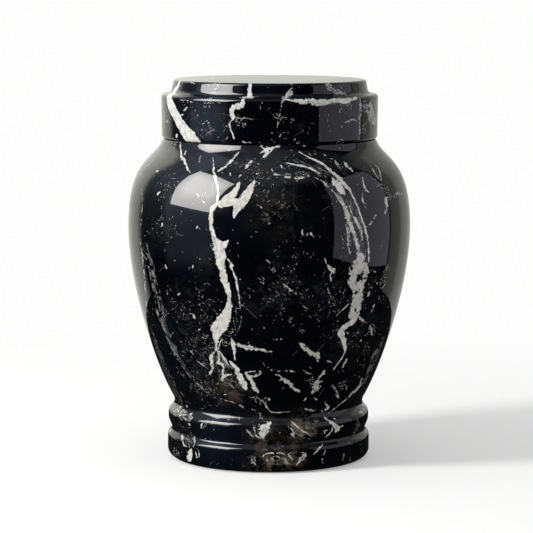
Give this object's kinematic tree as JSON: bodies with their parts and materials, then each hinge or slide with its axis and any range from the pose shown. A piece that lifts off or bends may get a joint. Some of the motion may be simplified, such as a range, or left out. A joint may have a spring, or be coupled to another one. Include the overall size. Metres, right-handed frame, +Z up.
{
  "type": "cremation urn",
  "caption": "Turned stone cremation urn: a hollow bulbous vessel on a ringed foot, closed by a lift-off lid with a raised flat crown.",
  "frame": {"origin": "centre of the underside, on the surface that the urn stands on", "axes": "+Z up along the turning axis, from the foot to the lid; +Y away from the side that the picture shows"},
  "size_m": [0.189, 0.189, 0.254],
  "materials": {
    "body_marble": "polished black marble with white and grey veins",
    "lid_marble": "polished black marble with white and grey veins"
  },
  "bodies": {
    "root": {"urn_body": "body_marble", "lid": "lid_marble"}
  },
  "joints": []
}
